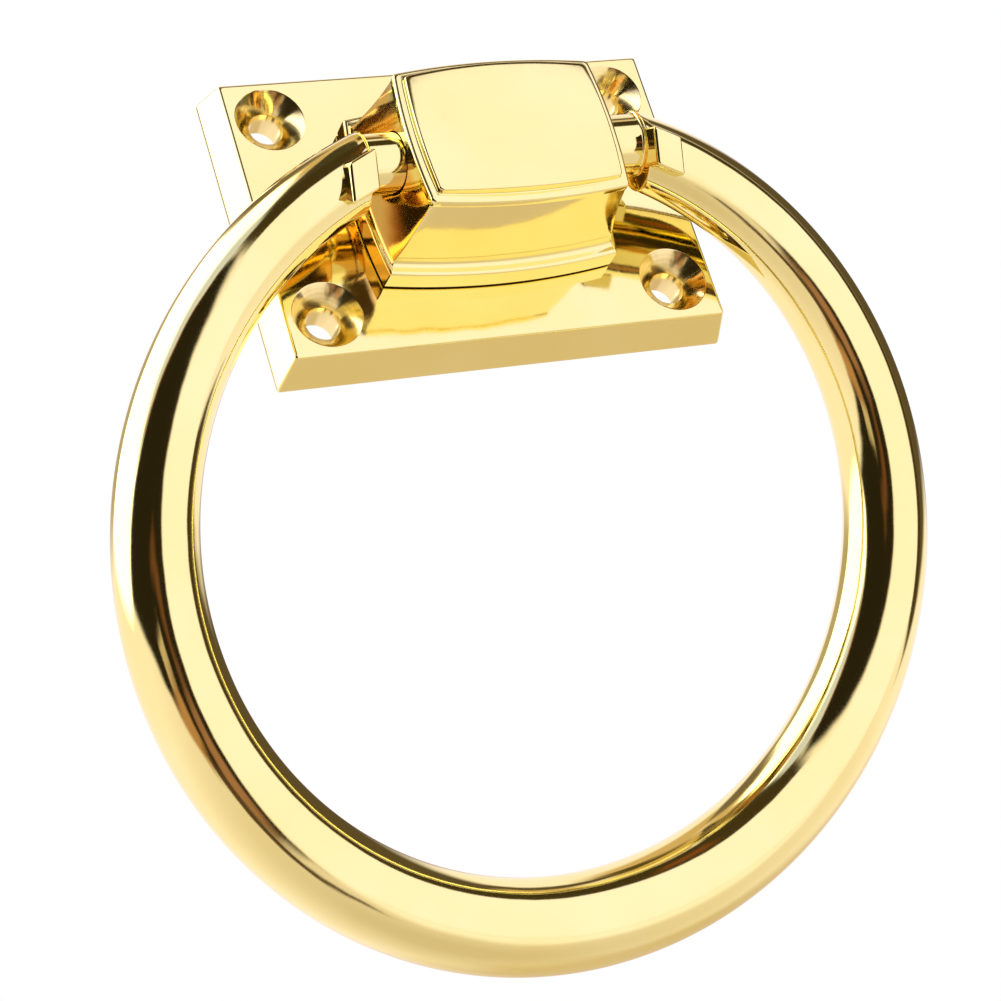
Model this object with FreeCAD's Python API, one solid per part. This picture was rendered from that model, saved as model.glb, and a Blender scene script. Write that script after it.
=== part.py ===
import FreeCAD, Part
import math
import os

os.makedirs("parts", exist_ok=True)

V = FreeCAD.Vector
AXIS_X = V(1, 0, 0)
INTO_PLATE = V(0, 1, 0)
OUTWARD = V(0, -1, 0)

# Driving dimensions, all in millimetres and degrees

# Back plate: a drafted rectangular casting, back face on Y = 0
plate_width = 60.0
plate_height = 41.4
plate_thickness = 6.4
plate_draft_inset = 1.3
plate_edge_radius = 0.4

# Wood screw holes in the plate
fixing_edge_distance_x = 6.75
fixing_edge_distance_z = 6.7
fixing_hole_diameter = 4.4
fixing_countersink_diameter = 8.8

# Pivot block: plinth, hollowed waist, cap and raised panel
plinth_width = 30.5
plinth_depth = 22.3
plinth_height = 3.3
plinth_ledge = 0.5
plinth_edge_radius = 0.35
waist_inset = 2.41
waist_hollow_radius = 48.0
cap_width = 25.9
cap_depth = 18.2
cap_underside_height = 14.8
cap_height = 16.0
cap_corner_radius = 0.6
cap_edge_radius = 0.4
panel_border = 1.0
panel_rise = 1.5
panel_dome_radius = 160.0
long_side_bow_radius = 95.0
short_side_bow_radius = 67.0

# Pivot: the ring's round trunnions turn in two blind sockets of the block
pivot_height = 10.4
trunnion_diameter = 7.4
trunnion_tip_from_centre = 8.0
trunnion_chamfer = 0.4
socket_radial_clearance = 0.08
socket_end_clearance = 0.4

# Ring: a round bar that thins towards its two ends
ring_radius = 48.8
ring_crown_height = 2.7
bar_mid_radius = 5.35
bar_swell = 0.78
ring_end_from_centre = 18.25
ring_rest_angle = 27.4

# Square collars near the ring's ends
collar_length = 3.65
collar_depth = 13.2
collar_height = 4.5
collar_edge_radius = 0.45

# Block screws, driven from the back of the plate
block_screw_spacing = 14.0
block_screw_diameter = 4.0
block_screw_head_diameter = 7.5
block_screw_reach = 5.0
block_screw_recess = 0.3
block_screw_clearance = 0.2
block_screw_thread_clearance = 0.02
block_screw_tip_room = 0.5
block_screw_slot_width = 1.0
block_screw_slot_depth = 0.9

# Largest difference between two places that count as the same
same_place = 1e-4

# Values that follow from the driving dimensions
fixing_spacing_x = plate_width - 2 * fixing_edge_distance_x
fixing_spacing_z = plate_height - 2 * fixing_edge_distance_z
ring_centre_drop = ring_radius - ring_crown_height
pivot_y = -(plate_thickness + pivot_height)
pivot_point = V(0, pivot_y, 0)


# Points, outlines and simple solids


def at(x, height, z):
    """Point at a height above the plate's front face."""
    return V(x, -(plate_thickness + height), z)


def bow_rise(half_length, radius):
    """Rise of a shallow arc over a chord."""
    return radius - math.sqrt(radius * radius - half_length * half_length)


def bowed_outline(half_x, half_z, height):
    """Closed outline of four shallow arcs that bulge outwards."""
    rise_z = bow_rise(half_x, long_side_bow_radius)
    rise_x = bow_rise(half_z, short_side_bow_radius)
    corners = [
        at(-half_x, height, -half_z),
        at(half_x, height, -half_z),
        at(half_x, height, half_z),
        at(-half_x, height, half_z),
    ]
    middles = [
        at(0, height, -half_z - rise_z),
        at(half_x + rise_x, height, 0),
        at(0, height, half_z + rise_z),
        at(-half_x - rise_x, height, 0),
    ]
    edges = []
    for index in range(4):
        arc = Part.Arc(corners[index], middles[index], corners[(index + 1) % 4])
        edges.append(arc.toShape())
    return Part.Wire(edges)


def bowed_slab(half_x, half_z, low, high):
    """Slab with a bowed outline between two heights."""
    face = Part.Face(bowed_outline(half_x, half_z, low))
    return face.extrude(OUTWARD * (high - low))


def edges_at_height(shape, height):
    """Edges that lie wholly at one height above the plate's front face."""
    level = -(plate_thickness + height)
    found = []
    for edge in shape.Edges:
        box = edge.BoundBox
        if abs(box.YMin - level) < same_place and abs(box.YMax - level) < same_place:
            found.append(edge)
    return found


def upright_edges(shape, low, high):
    """Edges that run straight from one height to another."""
    found = []
    for edge in shape.Edges:
        box = edge.BoundBox
        spans = abs(box.YLength - (high - low)) < same_place
        if spans and box.XLength < same_place and box.ZLength < same_place:
            found.append(edge)
    return found


def pivot_cylinder(radius, side, start, end):
    """Cylinder on the pivot axis between two distances from the centre."""
    base = V(side * start, pivot_y, 0)
    return Part.makeCylinder(radius, end - start, base, AXIS_X * side)


# Back plate


def make_block_screw_hole(x):
    """Clearance hole and countersink for a block screw, from the back."""
    shank = block_screw_diameter / 2 + block_screw_clearance
    head = block_screw_head_diameter / 2 + block_screw_clearance
    drill = Part.makeCylinder(shank, plate_thickness, V(x, 0, 0), OUTWARD)
    mouth = Part.makeCylinder(head, block_screw_recess, V(x, 0, 0), OUTWARD)
    seat_base = V(x, -block_screw_recess, 0)
    seat = Part.makeCone(head, shank, head - shank, seat_base, OUTWARD)
    return drill.fuse([mouth, seat])


def make_fixing_hole(x, z):
    """Through hole with a countersink that opens on the front face."""
    hole = fixing_hole_diameter / 2
    rim = fixing_countersink_diameter / 2
    drill = Part.makeCylinder(hole, plate_thickness, V(x, 0, z), OUTWARD)
    sink = Part.makeCone(rim, hole, rim - hole, at(x, 0, z), INTO_PLATE)
    return drill.fuse(sink)


def rectangle(width, height, y):
    """Closed rectangle in a plane parallel to the back face."""
    x = width / 2
    z = height / 2
    return Part.makePolygon([V(-x, y, -z), V(x, y, -z), V(x, y, z), V(-x, y, z), V(-x, y, -z)])


def make_back_plate():
    """Drafted plate with fixing holes and block screw holes."""
    back = rectangle(plate_width, plate_height, 0)
    front_width = plate_width - 2 * plate_draft_inset
    front_height = plate_height - 2 * plate_draft_inset
    front = rectangle(front_width, front_height, -plate_thickness)
    body = Part.makeLoft([back, front], True, True)
    body = body.makeFillet(plate_edge_radius, edges_at_height(body, 0))
    cutters = []
    for side in (-1, 1):
        cutters.append(make_block_screw_hole(side * block_screw_spacing / 2))
        for rise in (-1, 1):
            x = side * fixing_spacing_x / 2
            z = rise * fixing_spacing_z / 2
            cutters.append(make_fixing_hole(x, z))
    return body.cut(cutters)


# Pivot block


def waist_section(height):
    """Bowed outline of the waist, which tapers to the cap in a shallow hollow."""
    above = height - plinth_height
    below = cap_underside_height - height
    taper = (waist_inset - plinth_ledge) * above / (above + below)
    hollow = above * below / (2 * waist_hollow_radius)
    inset = plinth_ledge + taper + hollow
    half_x = plinth_width / 2 - inset
    half_z = plinth_depth / 2 - inset
    return bowed_outline(half_x, half_z, height)


def make_waist():
    """Loft whose four sides share one hollow curve."""
    steps = 8
    rise = cap_underside_height - plinth_height
    sections = []
    for index in range(steps + 1):
        sections.append(waist_section(plinth_height + rise * index / steps))
    return Part.makeLoft(sections, True, False)


def make_panel():
    """Raised panel on the cap, its top cut by a large sphere."""
    half_x = cap_width / 2 - panel_border
    half_z = cap_depth / 2 - panel_border
    slab = bowed_slab(half_x, half_z, cap_underside_height, cap_height + panel_rise)
    centre = at(0, cap_height + panel_rise - panel_dome_radius, 0)
    dome = Part.makeSphere(panel_dome_radius, centre)
    return slab.common(dome)


def make_pivot_block():
    """Plinth, waist, cap and panel as one casting, with sockets."""
    plinth = bowed_slab(plinth_width / 2, plinth_depth / 2, 0, plinth_height)
    plinth = plinth.makeFillet(plinth_edge_radius, edges_at_height(plinth, plinth_height))
    cap = bowed_slab(cap_width / 2, cap_depth / 2, cap_underside_height, cap_height)
    cap = cap.makeFillet(
        cap_corner_radius, upright_edges(cap, cap_underside_height, cap_height)
    )
    cap = cap.makeFillet(cap_edge_radius, edges_at_height(cap, cap_height))
    body = plinth.fuse([make_waist(), cap, make_panel()])
    socket_radius = trunnion_diameter / 2 + socket_radial_clearance
    socket_floor = trunnion_tip_from_centre - socket_end_clearance
    thread_radius = block_screw_diameter / 2 + block_screw_thread_clearance
    cutters = []
    for side in (-1, 1):
        cutters.append(pivot_cylinder(socket_radius, side, socket_floor, plinth_width))
        base = at(side * block_screw_spacing / 2, 0, 0)
        depth = block_screw_reach + block_screw_tip_room
        cutters.append(Part.makeCylinder(thread_radius, depth, base, OUTWARD))
    return body.cut(cutters)


# Ring


def bar_section(turn):
    """Round section of the bar, turn degrees from the lowest point."""
    angle = math.radians(turn)
    x = ring_radius * math.sin(angle)
    drop = ring_centre_drop + ring_radius * math.cos(angle)
    centre = pivot_point + V(x, 0, -drop)
    along = V(math.cos(angle), 0, math.sin(angle))
    radius = bar_mid_radius + bar_swell * math.cos(angle)
    return Part.Wire(Part.Circle(centre, along, radius).toShape())


def centreline_drop(x):
    """Drop of the bar's centreline below the pivot, near the ring's ends."""
    return ring_centre_drop - math.sqrt(ring_radius * ring_radius - x * x)


def make_bar():
    """Tapered bar that stops at two flat ends beside the pivot block."""
    overrun = 165
    steps = 22
    sections = []
    for index in range(steps + 1):
        sections.append(bar_section(overrun * (2 * index / steps - 1)))
    bar = Part.makeLoft(sections, True, False)
    reach = ring_radius
    gap_base = pivot_point + V(-ring_end_from_centre, -reach / 2, -reach / 2)
    gap = Part.makeBox(2 * ring_end_from_centre, reach, reach, gap_base)
    return bar.cut(gap)


def make_collar(side):
    """Square collar that follows the slope of the bar's centreline."""
    near = ring_end_from_centre
    far = near + collar_length
    near_drop = centreline_drop(near)
    far_drop = centreline_drop(far)
    slope = math.atan2(far_drop - near_drop, collar_length)
    half = collar_height / 2 / math.cos(slope)
    y = pivot_y - collar_depth / 2
    points = [
        V(side * near, y, -(near_drop - half)),
        V(side * far, y, -(far_drop - half)),
        V(side * far, y, -(far_drop + half)),
        V(side * near, y, -(near_drop + half)),
    ]
    points.append(points[0])
    block = Part.Face(Part.makePolygon(points)).extrude(V(0, collar_depth, 0))
    return block.makeFillet(collar_edge_radius, block.Edges)


def make_trunnion(side):
    """Round trunnion from inside the collar to its chamfered tip."""
    root = ring_end_from_centre + collar_length / 2
    tip = trunnion_tip_from_centre
    rod = pivot_cylinder(trunnion_diameter / 2, side, tip, root)
    tip_edges = []
    for edge in rod.Edges:
        if abs(edge.CenterOfMass.x - side * tip) < same_place:
            tip_edges.append(edge)
    return rod.makeChamfer(trunnion_chamfer, tip_edges)


def make_ring():
    """Bar, collars and trunnions as one casting, turned to its rest angle."""
    pieces = []
    for side in (-1, 1):
        pieces.append(make_collar(side))
        pieces.append(make_trunnion(side))
    ring = make_bar().fuse(pieces)
    ring.rotate(pivot_point, AXIS_X, ring_rest_angle)
    return ring


# Block screws


def make_block_screw(x):
    """Slotted countersunk screw, its head just under the back face."""
    shank = block_screw_diameter / 2
    head = block_screw_head_diameter / 2
    start = V(x, -block_screw_recess, 0)
    length = plate_thickness - block_screw_recess + block_screw_reach
    cone = Part.makeCone(head, shank, head - shank, start, OUTWARD)
    rod = Part.makeCylinder(shank, length, start, OUTWARD)
    bottom = -(block_screw_recess + block_screw_slot_depth)
    slot_base = V(x - head, bottom, -block_screw_slot_width / 2)
    slot = Part.makeBox(2 * head, block_screw_slot_depth, block_screw_slot_width, slot_base)
    return cone.fuse(rod).cut(slot)


def export(shape, name):
    """Write one clean solid under its node name."""
    solid = shape.removeSplitter().Solids[0]
    solid.exportStep("parts/" + name + ".step")


export(make_back_plate(), "back_plate")
export(make_pivot_block(), "pivot_block")
export(make_ring(), "ring")
export(make_block_screw(-block_screw_spacing / 2), "block_screw_left")
export(make_block_screw(block_screw_spacing / 2), "block_screw_right")
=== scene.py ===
"""Looks of a polished brass ring pull handle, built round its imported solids."""

import logging
import math
from dataclasses import dataclass, field
from enum import Enum

import bmesh
import bpy
import numpy as np
from mathutils import Matrix, Vector

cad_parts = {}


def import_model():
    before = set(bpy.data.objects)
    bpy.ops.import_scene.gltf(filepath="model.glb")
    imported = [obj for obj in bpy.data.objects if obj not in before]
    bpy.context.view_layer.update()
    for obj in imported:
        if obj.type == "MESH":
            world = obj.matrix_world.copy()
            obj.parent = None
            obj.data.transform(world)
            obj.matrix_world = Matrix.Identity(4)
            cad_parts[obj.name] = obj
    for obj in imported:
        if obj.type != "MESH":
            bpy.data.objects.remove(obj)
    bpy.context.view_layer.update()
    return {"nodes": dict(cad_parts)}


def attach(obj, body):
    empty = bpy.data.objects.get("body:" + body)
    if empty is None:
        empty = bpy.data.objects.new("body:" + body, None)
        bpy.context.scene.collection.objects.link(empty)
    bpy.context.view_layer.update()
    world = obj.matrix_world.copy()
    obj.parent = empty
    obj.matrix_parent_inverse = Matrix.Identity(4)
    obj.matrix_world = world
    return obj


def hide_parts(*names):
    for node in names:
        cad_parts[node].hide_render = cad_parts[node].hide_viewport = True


LOG = logging.getLogger("ring_pull")
MM = 0.001
TAU = 2 * math.pi
Triple = tuple[float, float, float]
HANDLE_CENTRE = (0.0, 0.0, -0.04)
# Height above the rear face, in mm, up to which the block's side-facing faces get a
# painted warm reflection tint.
PAINTED_REFLECTION_TOP = 20.6
WHITE = (1.0, 1.0, 1.0, 1.0)


class Body(Enum):
    """The two bodies of the handle that move against each other."""

    BASE = "base"
    RING = "ring"


class Slot(Enum):
    """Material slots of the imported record."""

    PLATE = "plate_brass"
    BLOCK = "block_brass"
    RING = "ring_brass"


# Mesh helpers


def ring_quads(rows: int, columns: int, start: int = 0) -> np.ndarray:
    """Quads that join closed rings of points, each ring to the next.

    Args:
        rows: Number of rings.
        columns: Points round each ring.
        start: Index of the first point.

    Returns:
        Array of shape (quads, 4): a point, the next one round its ring, and the
        same two points one ring on.
    """
    row = np.arange(rows - 1)[:, None]
    column = np.arange(columns)[None, :]
    following = (column + 1) % columns
    a = start + row * columns + column
    b = start + row * columns + following
    return np.stack([a, b, b + columns, a + columns], axis=-1).reshape(-1, 4)


class MeshParts:
    """Grids and faces in millimetres, gathered into one mesh."""

    def __init__(self) -> None:
        """Starts with no points and no faces."""
        self.points: list[np.ndarray] = []
        self.faces: list[np.ndarray] = []
        self.polygons: list[list[int]] = []
        self.count = 0

    def add_rings(self, rings: np.ndarray) -> int:
        """Joins closed rings of points with quads, ring to ring.

        Args:
            rings: Array of shape (rings, points, 3); each ring closes on itself.

        Returns:
            The index of the first point that was added.
        """
        rows, columns = rings.shape[:2]
        start = self.count
        self.points.append(rings.reshape(-1, 3))
        self.faces.append(ring_quads(rows, columns, start))
        self.count += rows * columns
        return start

    def add_capped_rings(self, rings: np.ndarray) -> None:
        """Joins closed rings of points and closes both ends with a flat face.

        Args:
            rings: Array of shape (rings, points, 3).
        """
        rows, columns = rings.shape[:2]
        first = self.add_rings(rings)
        for start in (first, first + (rows - 1) * columns):
            self.polygons.append(list(range(start, start + columns)))

    def add_solid(self, points: np.ndarray, faces: list[list[int]]) -> None:
        """Adds a closed solid.

        Args:
            points: Array of shape (points, 3).
            faces: Each face as indices of those points.
        """
        start = self.count
        self.points.append(np.asarray(points, float))
        self.count += len(points)
        for face in faces:
            self.polygons.append([start + index for index in face])

    def build(self, name: str) -> bpy.types.Object:
        """Makes the mesh object, in metres, with its doubles merged.

        Args:
            name: The new object's name.

        Returns:
            A linked object at the origin, its faces pointing outwards.
        """
        points = np.concatenate(self.points) * MM
        faces = [quad for block in self.faces for quad in block.tolist()]
        mesh = bpy.data.meshes.new(name)
        mesh.from_pydata(points.tolist(), [], faces + self.polygons)
        made = bmesh.new()
        made.from_mesh(mesh)
        bmesh.ops.remove_doubles(made, verts=made.verts, dist=1e-7)
        bmesh.ops.dissolve_degenerate(made, edges=made.edges, dist=1e-8)
        bmesh.ops.recalc_face_normals(made, faces=made.faces)
        made.to_mesh(mesh)
        made.free()
        return linked(name, mesh)


def linked(name: str, data: bpy.types.ID) -> bpy.types.Object:
    """Makes an object and links it to the scene.

    Args:
        name: The object's name.
        data: Its mesh, lamp or camera.

    Returns:
        The new object.
    """
    made = bpy.data.objects.new(name, data)
    bpy.context.scene.collection.objects.link(made)
    return made


def cut_away(piece: bpy.types.Object, cutters: list[bpy.types.Object]) -> None:
    """Cuts closed cutters out of a piece and deletes them.

    Args:
        piece: The object to cut; its mesh is replaced by the result.
        cutters: Closed objects, whose materials go to the cut faces.
    """
    for cutter in cutters:
        step = piece.modifiers.new("cut", "BOOLEAN")
        step.operation = "DIFFERENCE"
        step.solver = "EXACT"
        step.object = cutter
        step.material_mode = "TRANSFER"
    graph = bpy.context.evaluated_depsgraph_get()
    result = bpy.data.meshes.new_from_object(piece.evaluated_get(graph))
    piece.modifiers.clear()
    old = piece.data
    piece.data = result
    bpy.data.meshes.remove(old)
    for cutter in cutters:
        bpy.data.objects.remove(cutter)


def polish_shading(piece: bpy.types.Object, sharp_degrees: float) -> None:
    """Smooth shading that keeps flats flat and arrises crisp.

    Args:
        piece: The object to shade.
        sharp_degrees: Edges that turn more than this stay sharp.
    """
    mesh = piece.data
    mesh.polygons.foreach_set("use_smooth", np.ones(len(mesh.polygons), bool))
    mesh.set_sharp_from_angle(angle=math.radians(sharp_degrees))
    weighted = piece.modifiers.new("weighted_normals", "WEIGHTED_NORMAL")
    weighted.mode = "FACE_AREA"
    weighted.keep_sharp = True


def place(
    piece: bpy.types.Object, body: Body, nodes: tuple[str, ...]
) -> None:
    """Lets a piece ride on its body and stand for CAD nodes.

    Args:
        piece: The finished object.
        body: The body that it moves with.
        nodes: Names of the CAD nodes that it replaces.
    """
    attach(piece, body.value)
    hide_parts(*nodes)
    LOG.info("%s: %d faces", piece.name, len(piece.data.polygons))


def quarter(steps: int) -> np.ndarray:
    """Angles from 0 to a right angle."""
    return np.linspace(0, math.pi / 2, steps)


def lower_round(radius: float, steps: int) -> list[tuple[float, float]]:
    """(inset, lift) pairs up an edge's lower quarter: r (1 - sin), r (1 - cos)."""
    return [
        (radius * (1 - math.sin(angle)), radius * (1 - math.cos(angle)))
        for angle in quarter(steps)
    ]


def upper_round(radius: float, steps: int) -> list[tuple[float, float]]:
    """(inset, lift) pairs up an edge's upper quarter: r (1 - cos), r sin."""
    return [
        (radius * (1 - math.cos(angle)), radius * math.sin(angle))
        for angle in quarter(steps)
    ]


def bow_rise(half_length: float, radius: float) -> float:
    """Rise of a shallow arc over a chord."""
    return radius - math.sqrt(radius**2 - half_length**2)


def turned_solid(
    profile: list[tuple[float, float]],
    base: Triple,
    axis: Triple,
    segments: int,
) -> np.ndarray:
    """Rings of a turned solid: base + axis * along + radius * (cos, sin).

    Args:
        profile: (distance along the axis, radius) pairs.
        base: The point where the distance is 0, in millimetres.
        axis: The unit axis of turning.
        segments: Points round each ring.

    Returns:
        Array of shape (pairs, segments, 3).
    """
    line = np.array(axis, float)
    helper = np.array([0.0, 0.0, 1.0]) if abs(line[2]) < 0.9 else np.array([1.0, 0, 0])
    first = np.cross(line, helper)
    first /= np.linalg.norm(first)
    second = np.cross(line, first)
    angle = np.linspace(0, TAU, segments, endpoint=False)
    circle = np.cos(angle)[:, None] * first + np.sin(angle)[:, None] * second
    along = np.array([pair[0] for pair in profile])[:, None, None]
    radius = np.array([pair[1] for pair in profile])[:, None, None]
    return np.array(base, float) + along * line + radius * circle[None]


def turned_cutter(
    name: str,
    profile: list[tuple[float, float]],
    base: Triple,
    axis: Triple,
    material: bpy.types.Material,
    segments: int = 128,
) -> bpy.types.Object:
    """A closed turned solid that is used to cut a hole.

    Args:
        name: The cutter's name.
        profile: (distance along the axis, radius) pairs.
        base: The point where the distance is 0, in millimetres.
        axis: The unit axis of turning.
        material: The material that the cut faces get.
        segments: Points round each ring.

    Returns:
        The cutter's object.
    """
    parts = MeshParts()
    parts.add_capped_rings(turned_solid(profile, base, axis, segments))
    cutter = parts.build(name)
    cutter.data.materials.append(material)
    return cutter


# Finishes


class Nodes:
    """Short way to add and join shader nodes in one material or world."""

    def __init__(self, owner: bpy.types.Material | bpy.types.World) -> None:
        """Empties a node tree, ready for new nodes.

        Args:
            owner: The material or world that has the tree.
        """
        self.owner = owner
        self.owner.use_nodes = True
        self.tree = self.owner.node_tree
        self.tree.nodes.clear()

    def add(self, kind: str, **values: object) -> bpy.types.Node:
        """Adds a node and sets its properties and input values.

        Args:
            kind: The node's type.
            values: Its properties, or its inputs with _ for each space.

        Returns:
            The new node.
        """
        node = self.tree.nodes.new(kind)
        for key, value in values.items():
            if hasattr(node, key):
                setattr(node, key, value)
            else:
                node.inputs[key.replace("_", " ").title()].default_value = value
        return node

    def join(
        self,
        source: bpy.types.Node,
        output: int | str,
        target: bpy.types.Node,
        socket: int | str,
    ) -> None:
        """Links an output of one node to an input of another."""
        self.tree.links.new(source.outputs[output], target.inputs[socket])

    def finish(self, shader: bpy.types.Node, kind: str = "Material") -> bpy.types.ID:
        """Joins the last shader to the tree's output.

        Args:
            shader: The node whose first output is the finished look.
            kind: Material or World.

        Returns:
            The material or world.
        """
        output = self.add(f"ShaderNodeOutput{kind}")
        self.join(shader, 0, output, "Surface")
        return self.owner

    def ramp(self, stops: list[tuple[float, tuple[float, ...]]]) -> bpy.types.Node:
        """Adds a colour ramp.

        Args:
            stops: (position, colour) pairs in rising order.

        Returns:
            The ramp's node.
        """
        node = self.tree.nodes.new("ShaderNodeValToRGB")
        ramp = node.color_ramp
        while len(ramp.elements) < len(stops):
            ramp.elements.new(0.5)
        for element, (position, colour) in zip(ramp.elements, stops):
            element.position = position
            element.color = (*colour, 1.0)
        return node


@dataclass(frozen=True)
class PolishedBrass:
    """Mirror-polished cast brass with faint hand-polishing waves and an optional painted
    warm reflection tint.

    Attributes:
        name: The material's name.
        pale: Colour where the metal is cleanest.
        deep: Colour where a faint tarnish has begun.
        roughness: Lowest roughness of the mirror finish.
        haze: Roughness added where the polish is duller.
        wave_scale: Waves per metre left by the polishing wheel.
        wave_depth: Strength of those waves.
        painted_reflection_colour: Painted reflection: a warm tint that stands in for the
            orange-brown that the low flanks mirror from dark surroundings.
        painted_reflection_below: Height above the rear face, in millimetres, up to which
            faces that look along X get that painted tint; 0 for none.
        painted_reflection_fade: Height in millimetres over which the painted tint fades
            out.
    """

    name: str
    pale: Triple = (0.98, 0.875, 0.37)
    deep: Triple = (0.955, 0.84, 0.32)
    roughness: float = 0.05
    haze: float = 0.06
    wave_scale: float = 90.0
    wave_depth: float = 0.05
    # Painted reflection: a warm tint for low faces that look along X, and where it lies.
    painted_reflection_colour: Triple = (0.9, 0.52, 0.15)
    painted_reflection_below: float = 0.0
    painted_reflection_fade: float = 1.5

    def painted_reflection_share(self, kit: Nodes, place_at: bpy.types.Node) -> bpy.types.Node:
        """Nodes for the share of the painted reflection tint on each face.

        Args:
            kit: The material's nodes.
            place_at: Its texture coordinates.

        Returns:
            A node that is 1 on low faces that look along X, and 0 elsewhere.
        """
        facing = kit.add("ShaderNodeSeparateXYZ")
        spot = kit.add("ShaderNodeSeparateXYZ")
        sideways = kit.add("ShaderNodeMath", operation="ABSOLUTE")
        turned = kit.add("ShaderNodeMapRange", clamp=True, From_Min=0.6, From_Max=0.85)
        low = kit.add(
            "ShaderNodeMapRange",
            clamp=True,
            From_Min=-self.painted_reflection_below * MM,
            From_Max=-(self.painted_reflection_below - self.painted_reflection_fade) * MM,
        )
        both = kit.add("ShaderNodeMath", operation="MULTIPLY")
        kit.join(place_at, "Normal", facing, "Vector")
        kit.join(place_at, "Object", spot, "Vector")
        kit.join(facing, "X", sideways, 0)
        kit.join(sideways, 0, turned, "Value")
        kit.join(spot, "Y", low, "Value")
        kit.join(turned, "Result", both, 0)
        kit.join(low, "Result", both, 1)
        return both

    def make(self) -> bpy.types.Material:
        """Builds the material from noise on Object coordinates.

        Returns:
            The finished material.
        """
        kit = Nodes(bpy.data.materials.new(self.name))
        place_at = kit.add("ShaderNodeTexCoord")
        patches = kit.add("ShaderNodeTexNoise", Scale=55.0, Detail=3.0, Roughness=0.55)
        tint = kit.ramp([(0.35, self.deep), (0.62, self.pale)])
        waves = kit.add("ShaderNodeTexNoise", Scale=self.wave_scale, Detail=2.0)
        hairlines = kit.add("ShaderNodeTexNoise", Scale=2600.0, Detail=4.0, Roughness=0.7)
        haze = kit.add(
            "ShaderNodeMapRange",
            clamp=True,
            From_Min=0.35,
            From_Max=0.75,
            To_Min=self.roughness,
            To_Max=self.roughness + self.haze,
        )
        wave_bump = kit.add("ShaderNodeBump", Strength=self.wave_depth, Distance=0.002)
        fine_bump = kit.add("ShaderNodeBump", Strength=0.02, Distance=0.00005)
        metal = kit.add("ShaderNodeBsdfPrincipled", Metallic=1.0)
        for texture in (patches, waves, hairlines):
            kit.join(place_at, "Object", texture, "Vector")
        kit.join(patches, "Fac", tint, "Fac")
        # Painted reflection: low faces that look along X get a warm orange tint for what
        # they mirror.
        if self.painted_reflection_below:
            blend = kit.add("ShaderNodeMix", data_type="RGBA")
            blend.inputs[7].default_value = (*self.painted_reflection_colour, 1.0)
            kit.join(self.painted_reflection_share(kit, place_at), 0, blend, 0)
            kit.join(tint, "Color", blend, 6)
            kit.join(blend, 2, metal, "Base Color")
        else:
            kit.join(tint, "Color", metal, "Base Color")
        kit.join(hairlines, "Fac", haze, "Value")
        kit.join(haze, "Result", metal, "Roughness")
        kit.join(waves, "Fac", wave_bump, "Height")
        kit.join(hairlines, "Fac", fine_bump, "Height")
        kit.join(wave_bump, "Normal", fine_bump, "Normal")
        kit.join(fine_bump, "Normal", metal, "Normal")
        return kit.finish(metal)


@dataclass(frozen=True)
class TurnedBrass:
    """Brass left by a cutting tool, with fine rings round the tool's axis.

    Attributes:
        name: The material's name.
        axis_x: Distance of the axes from the middle along X, in millimetres.
        axis_z: Distance of the axes from the middle along Z, in millimetres.
        colour: Base colour of the cut metal.
        roughness: Roughness of the cut metal.
        stretch: How much more it blurs across the tool marks than along them.
        ring_scale: Tool marks per metre of radius.
        ring_shade: Share of the colour that is left in a tool mark.
    """

    name: str
    axis_x: float
    axis_z: float
    colour: Triple = (0.98, 0.82, 0.34)
    roughness: float = 0.13
    stretch: float = 0.9
    ring_scale: float = 4200.0
    ring_shade: float = 0.92

    def make(self) -> bpy.types.Material:
        """Builds the material; the rings are noise on the radius from the axis.

        The fine rings blur what the metal mirrors along the radius only, so the
        shader's tangent points away from the nearest axis.

        Returns:
            The finished material.
        """
        kit = Nodes(bpy.data.materials.new(self.name))
        place_at = kit.add("ShaderNodeTexCoord")
        parts = kit.add("ShaderNodeSeparateXYZ")
        flat = kit.add("ShaderNodeCombineXYZ")
        outward = kit.add("ShaderNodeCombineXYZ")
        radius = kit.add("ShaderNodeVectorMath", operation="LENGTH")
        kit.join(place_at, "Object", parts, "Vector")
        for axis, centre in (("X", self.axis_x), ("Z", self.axis_z)):
            side = kit.add("ShaderNodeMath", operation="ABSOLUTE")
            offset = kit.add("ShaderNodeMath", operation="SUBTRACT")
            offset.inputs[1].default_value = centre * MM
            kit.join(parts, axis, side, 0)
            kit.join(side, 0, offset, 0)
            kit.join(offset, 0, flat, axis)
            half = kit.add("ShaderNodeMath", operation="SIGN")
            signed = kit.add("ShaderNodeMath", operation="MULTIPLY")
            kit.join(parts, axis, half, 0)
            kit.join(half, 0, signed, 0)
            kit.join(offset, 0, signed, 1)
            kit.join(signed, 0, outward, axis)
        kit.join(flat, "Vector", radius, 0)
        rings = kit.add(
            "ShaderNodeTexNoise", noise_dimensions="1D", Scale=self.ring_scale, Detail=2.0
        )
        shade = tuple(self.ring_shade * part for part in self.colour)
        tint = kit.ramp([(0.3, shade), (0.6, self.colour)])
        bump = kit.add("ShaderNodeBump", Strength=0.05, Distance=0.00003)
        metal = kit.add(
            "ShaderNodeBsdfPrincipled",
            Metallic=1.0,
            Roughness=self.roughness,
            Anisotropic=self.stretch,
        )
        kit.join(outward, "Vector", metal, "Tangent")
        kit.join(radius, "Value", rings, "W")
        kit.join(rings, "Fac", tint, "Fac")
        kit.join(rings, "Fac", bump, "Height")
        kit.join(tint, "Color", metal, "Base Color")
        kit.join(bump, "Normal", metal, "Normal")
        return kit.finish(metal)


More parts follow.
